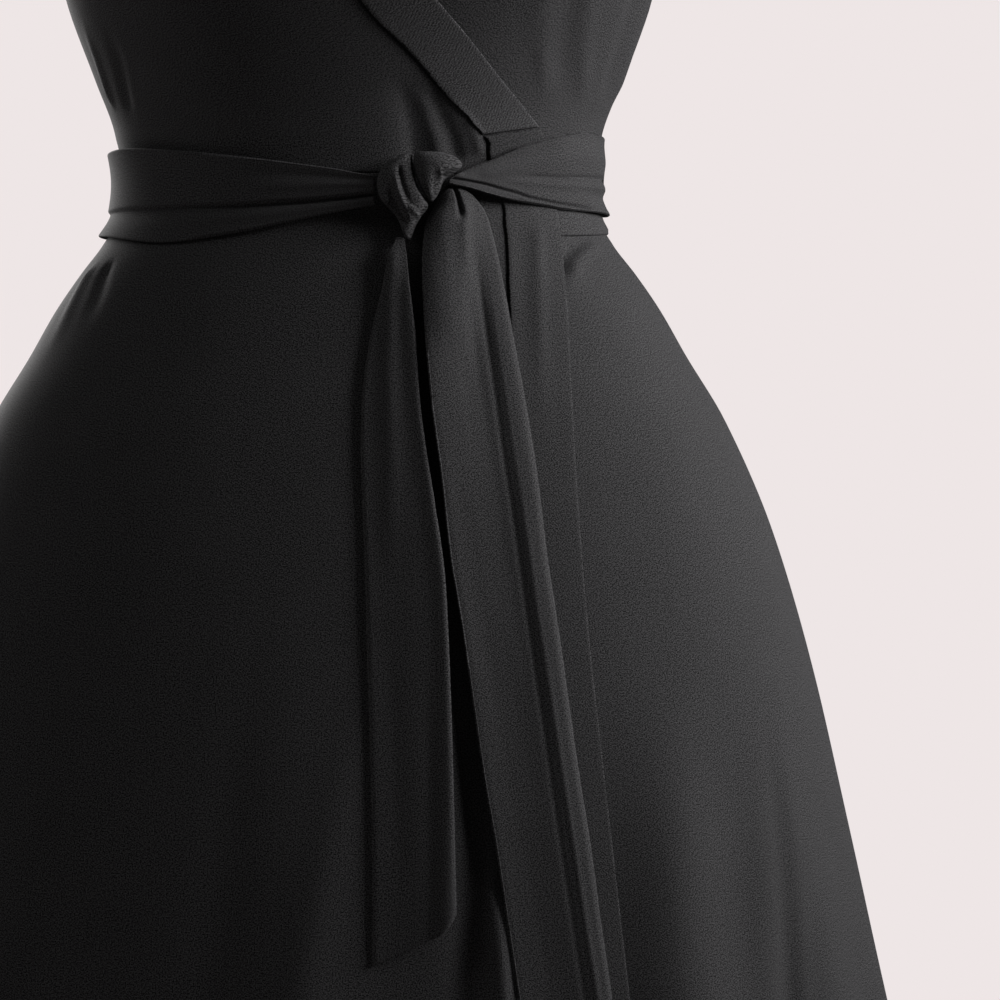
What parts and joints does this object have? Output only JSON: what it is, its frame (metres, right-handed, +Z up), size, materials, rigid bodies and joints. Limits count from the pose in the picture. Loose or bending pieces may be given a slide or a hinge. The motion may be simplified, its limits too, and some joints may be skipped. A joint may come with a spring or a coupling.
{
  "type": "wrap dress",
  "caption": "Sleeveless knee-length wrap dress in black crepe jersey, crossed V neck with a wide band, A-line skirt and a sash tied in a knot at the front left, filled out as worn.",
  "frame": {"origin": "the middle of the shoulder line, where the wearer carries the dress", "axes": "+Z up, the front faces -Y, +X is the wearer's left; the waist seam is 0.4 m below the origin"},
  "size_m": [0.6847, 0.4995, 1.1035],
  "materials": {
    "dress_cloth": "matte crepe jersey with a fine twill-like grain and a soft low sheen",
    "band_cloth": "the same crepe jersey, doubled, with its grain running along the band",
    "sash_cloth": "the same crepe jersey, doubled, pulled soft and smooth"
  },
  "bodies": {
    "root": {"bodice_back": "dress_cloth", "bodice_front_over": "dress_cloth", "bodice_front_under": "dress_cloth", "skirt_back": "dress_cloth", "skirt_front_over": "dress_cloth", "skirt_front_under": "dress_cloth", "neck_band_over": "band_cloth", "neck_band_back": "band_cloth", "neck_band_under": "band_cloth", "skirt_band_over": "band_cloth", "tie_over_start": "sash_cloth", "tie_over_back": "sash_cloth", "tie_over_front": "sash_cloth", "tie_under_front": "sash_cloth", "tie_under_back": "sash_cloth", "knot_wrap": "sash_cloth", "knot_lobe": "sash_cloth", "tie_end_front": "sash_cloth", "tie_end_rear": "sash_cloth"}
  },
  "joints": []
}
